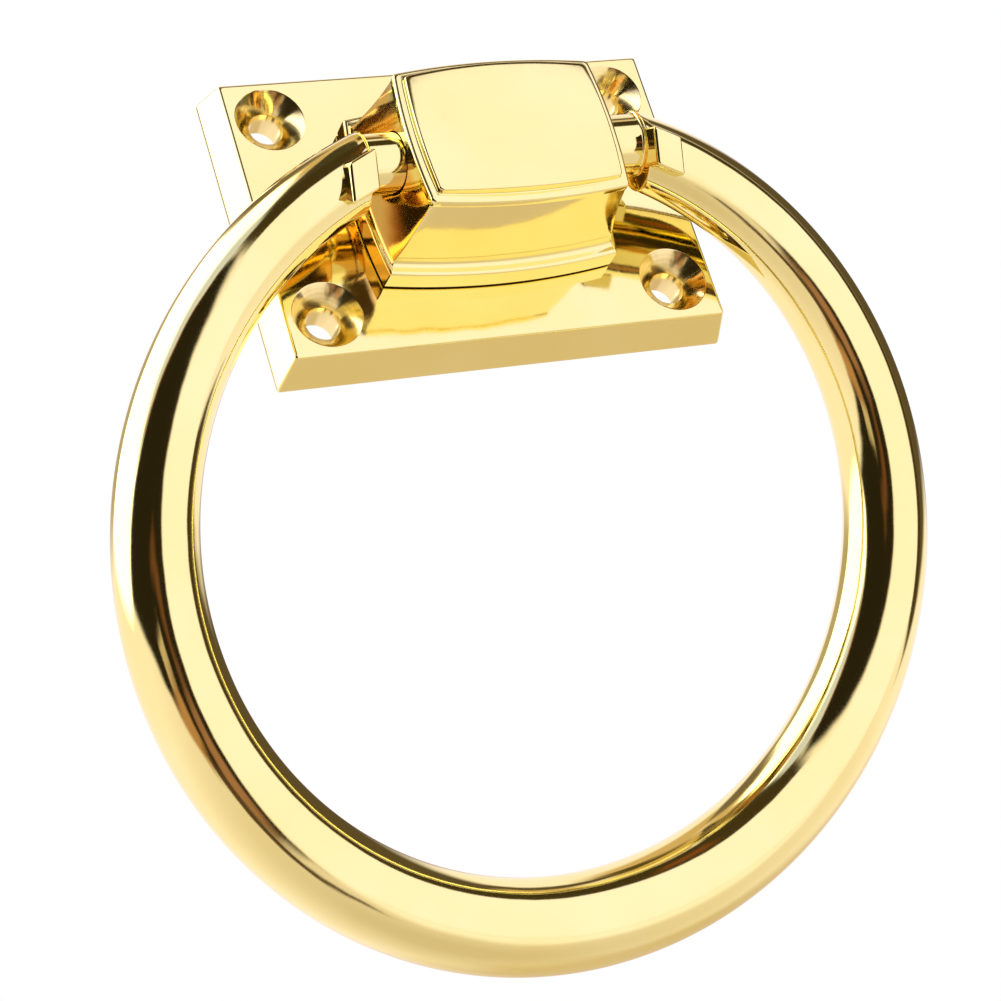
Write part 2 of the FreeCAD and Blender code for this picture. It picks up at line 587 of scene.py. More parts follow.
@dataclass(frozen=True)
class PaintedRecessShade:
    """Painted shade: a dark red-brown matt finish laid in narrow gaps and recesses.

    Attributes:
        name: The material's name.
        dark: Darkest colour of the painted shade.
        light: Lightest colour of the painted shade, with some brass in it.
    """

    name: str
    dark: Triple = (0.03, 0.008, 0.002)
    light: Triple = (0.14, 0.05, 0.012)

    def make(self) -> bpy.types.Material:
        """Builds the material from noise on Object coordinates.

        Returns:
            The finished material.
        """
        kit = Nodes(bpy.data.materials.new(self.name))
        place_at = kit.add("ShaderNodeTexCoord")
        # Mottling of the painted shade in gaps and recesses.
        shade_mottle = kit.add("ShaderNodeTexNoise", Scale=260.0, Detail=3.0)
        tint = kit.ramp([(0.35, self.dark), (0.75, self.light)])
        matt = kit.add("ShaderNodeBsdfPrincipled", Roughness=0.75)
        kit.join(place_at, "Object", shade_mottle, "Vector")
        kit.join(shade_mottle, "Fac", tint, "Fac")
        kit.join(tint, "Color", matt, "Base Color")
        return kit.finish(matt)


# Pieces of the handle


@dataclass
class BackPlate:
    """Drafted rectangular plate with four countersunk holes, in millimetres."""

    width: float = 60.0
    height: float = 41.4
    thickness: float = 6.4
    draft: float = 1.3
    edge_radius: float = 0.4
    rear_inset: float = 0.3
    rear_height: float = 0.8
    corner_radius: float = 0.3
    hole_x: float = 23.25
    hole_z: float = 14.0
    hole_radius: float = 2.2
    sink_radius: float = 4.4
    block_screw_x: float = 7.0
    block_screw_radius: float = 2.2
    block_head_radius: float = 3.95
    head_recess: float = 0.3
    edge_wear: float = 0.08
    cutter_overrun: float = 1.0

    def outline(self, inset: float, y: float) -> np.ndarray:
        """Rectangle with small round corners, counted round from the right.

        Args:
            inset: How far it lies inside the plate's largest outline.
            y: The height it lies at.

        Returns:
            Array of shape (20, 3).
        """
        radius = self.corner_radius
        half_x = self.width / 2 - inset
        half_z = self.height / 2 - inset
        points = []
        for turn in range(4):
            angle = quarter(5) + turn * math.pi / 2
            centre_x = (half_x - radius) * (1 if turn in (0, 3) else -1)
            centre_z = (half_z - radius) * (1 if turn in (0, 1) else -1)
            x = centre_x + radius * np.cos(angle)
            z = centre_z + radius * np.sin(angle)
            points.append(np.stack([x, np.full_like(x, y), z], axis=-1))
        return np.concatenate(points)

    def body(self) -> bpy.types.Object:
        """The plate before its holes: rear edge, drafted side, round front edge.

        Returns:
            The plate's object.
        """
        radius = self.edge_radius
        slope = self.draft / self.thickness
        stations = []
        for angle in quarter(9):
            y = -self.rear_height * (1 - math.cos(angle))
            stations.append((self.rear_inset * (1 - math.sin(angle)) - y * slope, y))
        side_inset = self.draft * (1 - radius / self.thickness)
        stations.append((side_inset, -(self.thickness - radius)))
        for angle in quarter(6)[1:]:
            inset = side_inset + (radius + 0.02) * (1 - math.cos(angle))
            stations.append((inset, -(self.thickness - radius + radius * math.sin(angle))))
        parts = MeshParts()
        parts.add_capped_rings(np.stack([self.outline(inset, y) for inset, y in stations]))
        return parts.build("back_plate_polished")

    def build(self, brass: bpy.types.Material, turned: bpy.types.Material) -> None:
        """Makes the plate, cuts its holes and puts it in place.

        Args:
            brass: Finish of the plate.
            turned: Finish inside its holes.
        """
        plate = self.body()
        plate.data.materials.append(brass)
        face = -self.thickness
        hole, sink = self.hole_radius, self.sink_radius
        depth = sink - hole
        past, wear, recess = self.cutter_overrun, self.edge_wear, self.head_recess
        cutters = []
        for x in (-self.hole_x, self.hole_x):
            for z in (-self.hole_z, self.hole_z):
                profile = [
                    (-past, sink + 0.2),
                    (0.0, sink + 0.1),
                    (wear, sink - wear / 2),
                    (depth - wear, hole + 0.06),
                    (depth + wear, hole),
                    (self.thickness + past, hole),
                ]
                cutters.append(
                    turned_cutter("sink_cutter", profile, (x, face, z), (0, 1, 0), turned)
                )
        for x in (-self.block_screw_x, self.block_screw_x):
            head, shank = self.block_head_radius, self.block_screw_radius
            profile = [
                (-past, head),
                (recess, head),
                (recess + head - shank, shank),
                (self.thickness + past, shank),
            ]
            cutters.append(
                turned_cutter("head_cutter", profile, (x, 0, 0), (0, -1, 0), turned)
            )
        cut_away(plate, cutters)
        polish_shading(plate, 28)
        place(plate, Body.BASE, ("back_plate",))


@dataclass
class PivotBlock:
    """Cushion-shaped block with bowed sides, hollow waist and raised panel."""

    plate_face: float = 6.4
    plinth_width: float = 30.5
    plinth_depth: float = 22.3
    plinth_height: float = 3.3
    plinth_edge: float = 0.42
    ledge: float = 0.5  # from the plinth's edge in to the short sides' foot
    waist_inset: float = 2.41  # and to their top
    waist_hollow: float = 48.0  # radius of their hollow
    long_ledge: float = 1.38  # the same three for the long sides
    long_inset: float = 2.2
    long_hollow: float = 300.0
    cove: float = 0.6
    cap_width: float = 25.9
    cap_depth: float = 18.2
    cap_under: float = 14.8
    cap_top: float = 16.0
    cap_corner: float = 0.6
    cap_edge: float = 0.4
    border: float = 1.0
    panel_rise: float = 1.5
    panel_edge: float = 0.22
    dome_radius: float = 160.0
    long_bow: float = 95.0
    short_bow: float = 67.0
    pivot_height: float = 10.4
    socket_radius: float = 3.78
    socket_floor: float = 7.6
    mouth_radius: float = 3.95
    mouth_depth: float = 0.7
    groove_depth: float = 0.3
    groove_height: float = 0.34
    arris: float = 0.16
    plinth_lip: float = 0.12
    cap_lip: float = 0.07
    panel_cove: float = 0.15
    seat: float = 0.002  # keeps the cove's foot clear of the plinth's top ring

    def outline(self, half_x: float, half_z: float, corner: float) -> np.ndarray:
        """Bowed rectangle whose four arcs meet in round corners.

        Each side lies on a large circle. The corner's centre is where the two
        circles, each drawn smaller by the corner's radius, meet.

        Args:
            half_x: Half width between the corners.
            half_z: Half depth between the corners.
            corner: Radius of the corners.

        Returns:
            Array of (x, z) points, once round.
        """
        long_centre = half_z - math.sqrt(self.long_bow**2 - half_x**2)
        short_centre = half_x - math.sqrt(self.short_bow**2 - half_z**2)
        long_r = self.long_bow - corner
        short_r = self.short_bow - corner
        x, z = half_x - corner, half_z - corner
        for _ in range(12):
            z = long_centre + math.sqrt(long_r**2 - x**2)
            x = short_centre + math.sqrt(short_r**2 - z**2)
        at_short = math.atan2(z, x - short_centre)
        at_long = math.atan2(z - long_centre, x)
        side = np.linspace(-at_short, at_short, 25)
        right_x = short_centre + self.short_bow * np.cos(side)
        right = np.stack([right_x, self.short_bow * np.sin(side)], -1)
        turn = np.linspace(at_short, at_long, 7)[1:-1]
        bend = np.stack([x + corner * np.cos(turn), z + corner * np.sin(turn)], -1)
        top_turn = np.linspace(at_long, math.pi - at_long, 33)
        top_z = long_centre + self.long_bow * np.sin(top_turn)
        top = np.stack([self.long_bow * np.cos(top_turn), top_z], -1)
        flip_x = np.array([-1.0, 1.0])
        half = np.concatenate([right, bend, top, (bend * flip_x)[::-1]])
        return np.concatenate([half, -half])

    def waist_half(self, height: float) -> tuple[float, float]:
        """Half sizes of the waist.

        Each side is a straight taper plus a shallow hollow. The long sides
        also run out on the plinth in a small round cove.

        Args:
            height: Height above the plate's front face.

        Returns:
            Half width and half depth between the corners.
        """
        above = height - self.plinth_height
        share = above / (self.cap_under - self.plinth_height)
        product = above * (self.cap_under - height) / 2
        short = self.ledge + (self.waist_inset - self.ledge) * share
        short += product / self.waist_hollow
        long = self.long_ledge + (self.long_inset - self.long_ledge) * share
        long += product / self.long_hollow
        left = max(self.cove - above, 0.0)
        long -= self.cove - math.sqrt(self.cove**2 - left**2)
        return self.plinth_width / 2 - short, self.plinth_depth / 2 - long

    def dome(self, outline: np.ndarray) -> np.ndarray:
        """Height of the panel's large sphere.

        Args:
            outline: Array of (x, z) points.

        Returns:
            One height above the plate's front face for each point.
        """
        flat = np.hypot(outline[:, 0], outline[:, 1])
        top = self.cap_top + self.panel_rise
        return top - self.dome_radius + np.sqrt(self.dome_radius**2 - flat**2)

    def ring_at(self, outline: np.ndarray, height: np.ndarray | float) -> np.ndarray:
        """Lifts an outline to a height above the plate's front face."""
        y = -(self.plate_face + np.broadcast_to(height, len(outline)))
        return np.stack([outline[:, 0], y, outline[:, 1]], axis=-1)

    def level(
        self, half: tuple[float, float], inset: float, corner: float, height: float
    ) -> np.ndarray:
        """Ring of the bowed outline at one height.

        Args:
            half: Half width and half depth before the inset.
            inset: How far it is drawn in.
            corner: Radius of its corners.
            height: Height above the plate's front face.

        Returns:
            Array of shape (points, 3).
        """
        outline = self.outline(half[0] - inset, half[1] - inset, corner)
        return self.ring_at(outline, height)

    def plinth_rings(self) -> list[np.ndarray]:
        """The foot's groove and the plinth above it.

        Returns:
            Rings of points, from the foot up.
        """
        half = (self.plinth_width / 2, self.plinth_depth / 2)
        edge_foot = self.plinth_height - self.plinth_edge
        levels = [(self.groove_depth, 0.0), (self.groove_depth, self.groove_height)]
        for inset, lift in lower_round(self.plinth_lip, 4):
            levels.append((inset, self.groove_height + lift))
        for inset, lift in upper_round(self.plinth_edge, 6):
            levels.append((inset, edge_foot + lift))
        return [self.level(half, inset, self.arris, height) for inset, height in levels]

    def waist_rings(self) -> list[np.ndarray]:
        """The waist, its rings close together in the cove at its foot.

        Returns:
            Rings of points, from the plinth up.
        """
        foot = self.plinth_height
        lifts = [lift for _, lift in lower_round(self.cove, 8)[:-1]]
        heights = [foot + lift + self.seat for lift in lifts]
        heights += list(np.linspace(foot + self.cove, self.cap_under, 40))
        return [
            self.level(self.waist_half(height), 0.0, self.arris, height)
            for height in heights
        ]

    def cap_rings(self) -> list[np.ndarray]:
        """The cap, its border and the domed panel.

        Returns:
            Rings of points, from the cap's lower edge to the panel's middle.
        """
        half = (self.cap_width / 2, self.cap_depth / 2)
        edge_foot = self.cap_top - self.cap_edge
        levels = [
            (inset, self.cap_under + lift) for inset, lift in lower_round(self.cap_lip, 4)
        ]
        for inset, lift in upper_round(self.cap_edge, 7):
            levels.append((inset, edge_foot + lift))
        for inset, lift in lower_round(self.panel_cove, 4):
            levels.append((self.border - inset, self.cap_top + lift))
        rings = [
            self.level(half, inset, self.cap_corner, height) for inset, height in levels
        ]
        edge = self.panel_edge
        for inset, lift in upper_round(edge, 6):
            inset += self.border
            outline = self.outline(half[0] - inset, half[1] - inset, self.cap_corner)
            rings.append(self.ring_at(outline, self.dome(outline) - edge + lift))
        inset = self.border + edge
        top = self.outline(half[0] - inset, half[1] - inset, self.cap_corner)
        for share in np.linspace(1, 0, 30)[1:]:
            rings.append(self.ring_at(top * share, self.dome(top * share)))
        return rings

    def darken_groove(self, mesh: bpy.types.Mesh) -> None:
        """Gives the faces of the foot's groove the second material, the painted shade.

        Args:
            mesh: The block's mesh.
        """
        centres = np.empty(len(mesh.polygons) * 3)
        mesh.polygons.foreach_get("center", centres)
        height = -centres.reshape(-1, 3)[:, 1] / MM - self.plate_face
        dark = (height < self.groove_height + 0.001).astype(np.int32)
        mesh.polygons.foreach_set("material_index", dark)

    def build(self, brass: bpy.types.Material, recess_shade: bpy.types.Material) -> None:
        """Makes the block, cuts its two sockets and puts it in place.

        Args:
            brass: Finish of the block.
            recess_shade: Painted shade for the groove and the sockets.
        """
        rings = self.plinth_rings() + self.waist_rings() + self.cap_rings()
        foot_centre = np.zeros_like(rings[0])
        foot_centre[:, 1] = -self.plate_face
        parts = MeshParts()
        parts.add_rings(np.stack([foot_centre, *rings]))
        block = parts.build("pivot_block_polished")
        block.data.materials.append(brass)
        block.data.materials.append(recess_shade)
        self.darken_groove(block.data)
        base = (0, -(self.plate_face + self.pivot_height), 0)
        wall = self.waist_half(self.pivot_height)[0]
        wall += bow_rise(self.waist_half(self.pivot_height)[1], self.short_bow)
        profile = [
            (self.socket_floor, self.socket_radius),
            (wall - self.mouth_depth, self.socket_radius),
            (wall, self.mouth_radius),
            (self.plinth_width, self.mouth_radius),
        ]
        # The cut socket walls take the cutters' material, the painted shade.
        cutters = [
            turned_cutter("socket_cutter", profile, base, (side, 0, 0), recess_shade)
            for side in (-1, 1)
        ]
        cut_away(block, cutters)
        polish_shading(block, 30)
        place(block, Body.BASE, ("pivot_block",))


@dataclass
class PullRing:
    """Tapered ring with two square collars and two round trunnions."""

    pivot_y: float = -16.8
    radius: float = 48.8
    drop: float = 46.1
    bar_mid: float = 5.35
    bar_swell: float = 0.78
    end_x: float = 18.25
    end_edge: float = 0.3
    lean: float = 27.4
    trunnion: float = 3.7
    tip_x: float = 8.0
    tip_chamfer: float = 0.4
    cove: float = 0.45
    collar_length: float = 3.65
    collar_depth: float = 13.2
    collar_height: float = 4.5
    collar_edge: float = 0.45
    collar_bite: float = 0.01
    throat_x: float = 14.0
    round_points: int = 112
    bar_rings: int = 170
    axes: dict[str, np.ndarray] = field(default_factory=dict)

    def __post_init__(self) -> None:
        """Sets the ring's own axes: across, down the ring and out of its face."""
        turn = math.radians(self.lean)
        self.axes = {
            "across": np.array([1.0, 0.0, 0.0]),
            "down": np.array([0.0, math.sin(turn), -math.cos(turn)]),
            "out": np.array([0.0, -math.cos(turn), -math.sin(turn)]),
        }

    def to_row(self, across: np.ndarray, down: np.ndarray, out: np.ndarray) -> np.ndarray:
        """Turns the ring's own coordinates into the handle's.

        Args:
            across: Distances along the pivot.
            down: Distances from the pivot down the ring.
            out: Distances out of the ring's face.

        Returns:
            Array of shape (..., 3).
        """
        across, down, out = np.broadcast_arrays(across, down, out)
        return (
            np.array([0.0, self.pivot_y, 0.0])
            + across[..., None] * self.axes["across"]
            + down[..., None] * self.axes["down"]
            + out[..., None] * self.axes["out"]
        )

    def bar_radius(self, turn: np.ndarray) -> np.ndarray:
        """Radius of the bar: middle size plus swell times the cosine of the turn."""
        return self.bar_mid + self.bar_swell * np.cos(turn)

    def bar_end_turn(self, section: np.ndarray, stop_x: float) -> np.ndarray:
        """Turn at which each line along the bar reaches the flat end's plane.

        It repeats turn = pi - asin(stop_x / (radius + bar radius * cos(section))).

        Args:
            section: Angles round the bar's section.
            stop_x: Distance of the plane from the middle.

        Returns:
            One turn for each angle.
        """
        turn = np.full_like(section, math.pi - math.asin(stop_x / self.radius))
        for _ in range(20):
            reach = self.radius + self.bar_radius(turn) * np.cos(section)
            turn = math.pi - np.arcsin(stop_x / reach)
        return turn

    def half_rings(self) -> list[np.ndarray]:
        """Right half of the ring: bar, flat end, cove and trunnion.

        Returns:
            Rings of points, from the ring's lowest point to the trunnion's tip.
        """
        section = np.linspace(0, TAU, self.round_points, endpoint=False)
        edge = self.end_edge
        end_turn = self.bar_end_turn(section, self.end_x + edge)
        rings = []
        for share in np.linspace(0, 1, self.bar_rings):
            turn = share * end_turn
            size = self.bar_radius(turn)
            reach = self.radius + size * np.cos(section)
            down = self.drop + reach * np.cos(turn)
            ring = [reach * np.sin(turn), down, size * np.sin(section)]
            rings.append(np.stack(ring, -1))
        rim = rings[-1]
        middle = np.array([0.0, rim[:, 1].mean(), 0.0])
        spoke = rim - middle
        spoke[:, 0] = 0
        length = np.linalg.norm(spoke, axis=1, keepdims=True)
        for inset, lift in upper_round(edge, 6)[1:]:
            ring = middle + spoke * (1 - inset / length)
            ring[:, 0] = self.end_x + edge - lift
            rings.append(ring)
        face = rings[-1]
        circle = np.stack([np.zeros_like(section), -np.cos(section), np.sin(section)], -1)
        root = circle * (self.trunnion + self.cove)
        root[:, 0] = self.end_x
        for share in np.linspace(0, 1, 5)[1:]:
            rings.append(face * (1 - share) + root * share)
        for inset, lift in lower_round(self.cove, 6)[1:]:
            ring = circle * (self.trunnion + inset)
            ring[:, 0] = self.end_x - lift
            rings.append(ring)
        chamfer = self.tip_chamfer
        for x, size in (
            (self.throat_x, self.trunnion),
            (self.tip_x + chamfer, self.trunnion),
            (self.tip_x, self.trunnion - chamfer),
            (self.tip_x, 0.0),
        ):
            ring = circle * size
            ring[:, 0] = x
            rings.append(ring)
        return rings

    def collar(self, side: int) -> tuple[np.ndarray, list[list[int]]]:
        """One square collar, its edges rounded.

        Args:
            side: 1 for the right collar, -1 for the left one.

        Returns:
            Its points in millimetres, and its faces as indices of them.
        """
        near = self.end_x - self.collar_bite
        far = self.end_x + self.collar_length
        near_drop = self.drop - math.sqrt(self.radius**2 - self.end_x**2)
        far_drop = self.drop - math.sqrt(self.radius**2 - far**2)
        slope = math.atan2(far_drop - near_drop, self.collar_length)
        half = self.collar_height / 2 / math.cos(slope)
        depth = self.collar_depth / 2
        box = bmesh.new()
        corners = []
        for out in (-depth, depth):
            for x, down in (
                (near, near_drop - half),
                (far, far_drop - half),
                (far, far_drop + half),
                (near, near_drop + half),
            ):
                corners.append(box.verts.new((side * x, down, out)))
        for face in (
            (0, 1, 2, 3), (7, 6, 5, 4), (0, 4, 5, 1),
            (1, 5, 6, 2), (2, 6, 7, 3), (3, 7, 4, 0),
        ):
            box.faces.new([corners[index] for index in face])
        bmesh.ops.bevel(
            box, geom=list(box.edges), offset=self.collar_edge, segments=5,
            profile=0.5, affect="EDGES",
        )
        box.verts.index_update()
        points = np.array([vert.co for vert in box.verts])
        faces = [[vert.index for vert in face.verts] for face in box.faces]
        box.free()
        return self.to_row(points[:, 0], points[:, 1], points[:, 2]), faces

    def build(self, brass: bpy.types.Material) -> None:
        """Makes the ring as one mesh and puts it in place.

        Args:
            brass: Finish of the ring.
        """
        right = np.stack(self.half_rings())
        left = right.copy()
        left[..., 0] *= -1
        whole = np.concatenate([left[::-1], right[1:]])
        parts = MeshParts()
        parts.add_rings(self.to_row(whole[..., 0], whole[..., 1], whole[..., 2]))
        for side in (-1, 1):
            points, faces = self.collar(side)
            parts.add_solid(points, faces)
        ring = parts.build("ring_polished")
        ring.data.materials.append(brass)
        polish_shading(ring, 32)
        place(ring, Body.RING, ("ring",))


# Studio


@dataclass(frozen=True)
class Panel:
    """A soft-edged patch of the studio that the metal mirrors.

    Attributes:
        corners: (azimuth, elevation) of its corners in degrees, seen from the
            handle; azimuth 0 is straight in front of it, 90 to its right.
        colour: Brightness of the patch in red, green and blue.
        soft: Width of its blurred edge in degrees.
        strength: Share of the patch that shows, from 0 to 1.
    """

    corners: tuple[tuple[float, float], ...]
    colour: Triple
    soft: float = 3.0
    strength: float = 1.0


@dataclass
class Studio:
    """World, mirrored surroundings, floor, lamps and camera."""

    panels: tuple[Panel, ...]
    surround_radius: float = 1.2
    floor_height: float = -0.75
    floor_half: float = 6.0
    world_light: float = 0.6

    def surroundings(self) -> None:
        """A large sphere round the handle that only polished metal mirrors."""
        azimuth = np.radians(np.linspace(-180, 180, 481)[:-1])
        elevation = np.radians(np.linspace(-90, 90, 241))
        az, el = np.meshgrid(azimuth, elevation)
        rings = np.array(HANDLE_CENTRE) + self.surround_radius * np.stack(
            [np.sin(az) * np.cos(el), -np.cos(az) * np.cos(el), np.sin(el)], -1
        )
        mesh = bpy.data.meshes.new("studio_surround")
        quads = ring_quads(*az.shape)
        mesh.from_pydata(rings.reshape(-1, 3).tolist(), [], quads.tolist())
        tone = mesh.color_attributes.new("tone", "FLOAT_COLOR", "POINT")
        colours = self.tones(np.degrees(az).ravel(), np.degrees(el).ravel())
        tone.data.foreach_set("color", colours.astype(np.float32).ravel())
        mesh.polygons.foreach_set("use_smooth", np.ones(len(mesh.polygons), bool))
        surround = linked("studio_surround", mesh)
        kit = Nodes(bpy.data.materials.new("studio_tone"))
        source = kit.add("ShaderNodeVertexColor", layer_name="tone")
        glow = kit.add("ShaderNodeEmission", Strength=1.0)
        kit.join(source, "Color", glow, "Color")
        mesh.materials.append(kit.finish(glow))
        surround.visible_camera = False
        surround.visible_diffuse = False
        surround.visible_shadow = False
        surround.visible_transmission = False
        surround.visible_volume_scatter = False

    def tones(self, azimuth: np.ndarray, elevation: np.ndarray) -> np.ndarray:
        """Colour of the surroundings in each direction.

        The base runs from tan below to cream at eye level. Each panel is laid
        over it with a smooth edge: share = smoothstep(signed distance / soft).

        Args:
            azimuth: Degrees from straight in front, one per direction.
            elevation: Degrees above the horizon, one per direction.

        Returns:
            Array of shape (directions, 4).
        """
        low = np.array([0.71, 0.6, 0.56])
        high = np.array([1.08, 0.97, 1.14])
        share = np.clip((elevation + 80) / 60, 0, 1)[:, None]
        colour = low * (1 - share) + high * share
        for panel in self.panels:
            best = np.full(len(azimuth), -1e9)
            for shift in (-360, 0, 360):
                depth = signed_depth(panel.corners, azimuth + shift, elevation)
                best = np.maximum(best, depth)
            mix = np.clip(best / panel.soft * 0.5 + 0.5, 0, 1)
            mix = (mix * mix * (3 - 2 * mix) * panel.strength)[:, None]
            colour = colour * (1 - mix) + np.array(panel.colour) * mix
        return np.concatenate([colour, np.ones((len(colour), 1))], axis=1)

    def world(self) -> None:
        """A plain white world, also for what metal mirrors."""
        kit = Nodes(bpy.data.worlds.new("studio_world"))
        path = kit.add("ShaderNodeLightPath")
        seen = kit.add("ShaderNodeMath", operation="MAXIMUM")
        seen_all = kit.add("ShaderNodeMath", operation="MAXIMUM")
        lit = kit.add("ShaderNodeBackground", Color=WHITE, Strength=self.world_light)
        white = kit.add("ShaderNodeBackground", Color=WHITE, Strength=1.0)
        mix = kit.add("ShaderNodeMixShader")
        kit.join(path, "Is Camera Ray", seen, 0)
        kit.join(path, "Is Glossy Ray", seen, 1)
        kit.join(seen, 0, seen_all, 0)
        kit.join(path, "Is Transmission Ray", seen_all, 1)
        kit.join(seen_all, 0, mix, "Fac")
        kit.join(lit, 0, mix, 1)
        kit.join(white, 0, mix, 2)
        bpy.context.scene.world = kit.finish(mix, "World")

    def floor(self) -> None:
        """Plain pale floor well below the held handle."""
        mesh = bpy.data.meshes.new("floor")
        half, z = self.floor_half, self.floor_height
        mesh.from_pydata(
            [(-half, -half, z), (half, -half, z), (half, half, z), (-half, half, z)],
            [], [(0, 1, 2, 3)],
        )
        floor = linked("floor", mesh)
        kit = Nodes(bpy.data.materials.new("pale_floor"))
        path = kit.add("ShaderNodeLightPath")
        matt = kit.add("ShaderNodeBsdfDiffuse", Color=(0.92, 0.92, 0.92, 1.0))
        glow = kit.add("ShaderNodeEmission", Color=WHITE, Strength=1.0)
        share = kit.add("ShaderNodeMath", operation="MULTIPLY")
        share.inputs[1].default_value = 0.8
        mix = kit.add("ShaderNodeMixShader")
        kit.join(path, "Is Camera Ray", share, 0)
        kit.join(share, 0, mix, "Fac")
        kit.join(matt, "BSDF", mix, 1)
        kit.join(glow, "Emission", mix, 2)
        mesh.materials.append(kit.finish(mix))
        floor.visible_glossy = False

    def lamps(self) -> None:
        """Two large soft lamps, upper left and right of the handle."""
        for name, spot, size, power in (
            ("lamp_left", (-0.9, -0.5, 0.9), 0.8, 10.0),
            ("lamp_right", (1.1, -0.4, 0.4), 0.8, 8.0),
        ):
            light = bpy.data.lights.new(name, "AREA")
            light.shape = "SQUARE"
            light.size = size
            light.energy = power
            lamp = linked(name, light)
            lamp.location = spot
            aim = Vector(HANDLE_CENTRE) - Vector(spot)
            lamp.rotation_euler = aim.to_track_quat("-Z", "Y").to_euler()
            lamp.visible_glossy = False

    def camera(self) -> None:
        """Camera at the photograph's angle, from the left and below."""
        data = bpy.data.cameras.new("camera")
        data.lens = 108.29
        data.sensor_width = 36.0
        camera = linked("camera", data)
        right = Vector((0.91355, -0.29828, -0.27646))
        up = Vector((0.1195, -0.45292, 0.88348))
        back = right.cross(up)
        turn = Matrix((right, up, back)).transposed().to_4x4()
        camera.matrix_world = Matrix.Translation((-0.14755, -0.30632, -0.17624)) @ turn
        bpy.context.scene.camera = camera

    def build(self) -> None:
        """Sets up everything that isn't part of the handle."""
        scene = bpy.context.scene
        scene.view_settings.view_transform = "Standard"
        self.world()
        self.surroundings()
        self.floor()
        self.lamps()
        self.camera()


def signed_depth(
    corners: tuple[tuple[float, float], ...], x: np.ndarray, y: np.ndarray
) -> np.ndarray:
    """Distance to a polygon's edge, by the nearest point of each side.

    Args:
        corners: The polygon's corners.
        x: First coordinates of the places to measure.
        y: Second coordinates of those places.

    Returns:
        One distance for each place, positive inside and negative outside.
    """
    inside = np.zeros(len(x), bool)
    nearest = np.full(len(x), 1e9)
    for index, (x1, y1) in enumerate(corners):
        x2, y2 = corners[(index + 1) % len(corners)]
        run_x, run_y = x2 - x1, y2 - y1
        along = ((x - x1) * run_x + (y - y1) * run_y) / (run_x**2 + run_y**2)
        along = np.clip(along, 0, 1)
        gap = np.hypot(x - x1 - along * run_x, y - y1 - along * run_y)
        nearest = np.minimum(nearest, gap)
        if y1 != y2:
            crosses = (y1 > y) != (y2 > y)
            inside ^= crosses & (x < run_x * (y - y1) / run_y + x1)
    return np.where(inside, nearest, -nearest)


